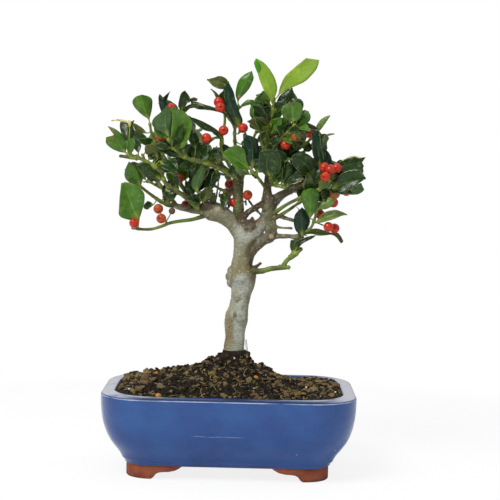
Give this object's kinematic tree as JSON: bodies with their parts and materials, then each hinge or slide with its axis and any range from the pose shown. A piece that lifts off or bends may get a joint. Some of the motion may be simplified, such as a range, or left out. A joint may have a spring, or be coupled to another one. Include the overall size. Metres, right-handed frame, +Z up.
{
  "type": "holly bonsai in a pot",
  "caption": "Small holly tree grown as a bonsai, with glossy leaves and red berries, standing in a soil-filled rectangular pot with rounded corners, a blue glaze and low feet.",
  "frame": {"origin": "centre of the whole part's box, on the surface that the pot's feet stand on", "axes": "+Z up along the trunk, +X along the pot's long side, -Y the front, which shows in the picture"},
  "size_m": [0.213, 0.15, 0.3419],
  "materials": {
    "blue_glaze": "gloss blue glaze, thinner and browner on the edges",
    "terracotta": "matte unglazed feet and underside",
    "soil": "matte damp humus and grit",
    "grit": "matte loose pebbles on the soil",
    "pellet": "satin coated fertiliser pellets",
    "root_fibre": "matte dry roots and bark crumbs on the soil",
    "bark": "matte smooth grey bark with scars",
    "green_twig": "satin green twigs and leaf stalks",
    "leaf": "gloss, waxy leathery leaves, paler below",
    "young_leaf": "satin young leaves",
    "berry": "gloss waxy berry skin",
    "screen_plastic": "matte plastic mesh"
  },
  "bodies": {
    "root": {"berries_centre_right": "berry", "berries_far_right": "berry", "berries_inner": "berry", "berries_left_limb": "berry", "berries_left_low": "berry", "berries_right_bottom": "berry", "berries_right_cluster": "berry", "berries_top_left": "berry", "berries_upper_right": "berry", "drain_screen_left": "screen_plastic", "drain_screen_right": "screen_plastic", "pot": "blue_glaze", "shoot_young": "young_leaf", "soil": "soil", "spray_back_centre": "leaf", "spray_back_left": "leaf", "spray_back_left_low": "leaf", "spray_back_right": "leaf", "spray_back_right_low": "leaf", "spray_back_top": "leaf", "spray_back_upper_left": "leaf", "spray_back_upper_right": "leaf", "spray_centre": "leaf", "spray_centre_right": "leaf", "spray_far_right": "leaf", "spray_fill_centre": "leaf", "spray_fill_left": "leaf", "spray_fill_left_outer": "leaf", "spray_fill_right": "leaf", "spray_fill_right_outer": "leaf", "spray_fill_top": "leaf", "spray_inner_centre": "leaf", "spray_inner_left": "leaf", "spray_left_low": "leaf", "spray_left_mid": "leaf", "spray_left_tip": "leaf", "spray_left_top": "leaf", "spray_low_right": "leaf", "spray_right_bottom": "leaf", "spray_right_low": "leaf", "spray_right_mid": "leaf", "spray_top": "leaf", "spray_top_centre": "leaf", "spray_top_left": "leaf", "spray_top_right": "leaf", "spray_upper_left": "leaf", "spray_upper_right": "leaf", "trunk": "bark"}
  },
  "joints": []
}
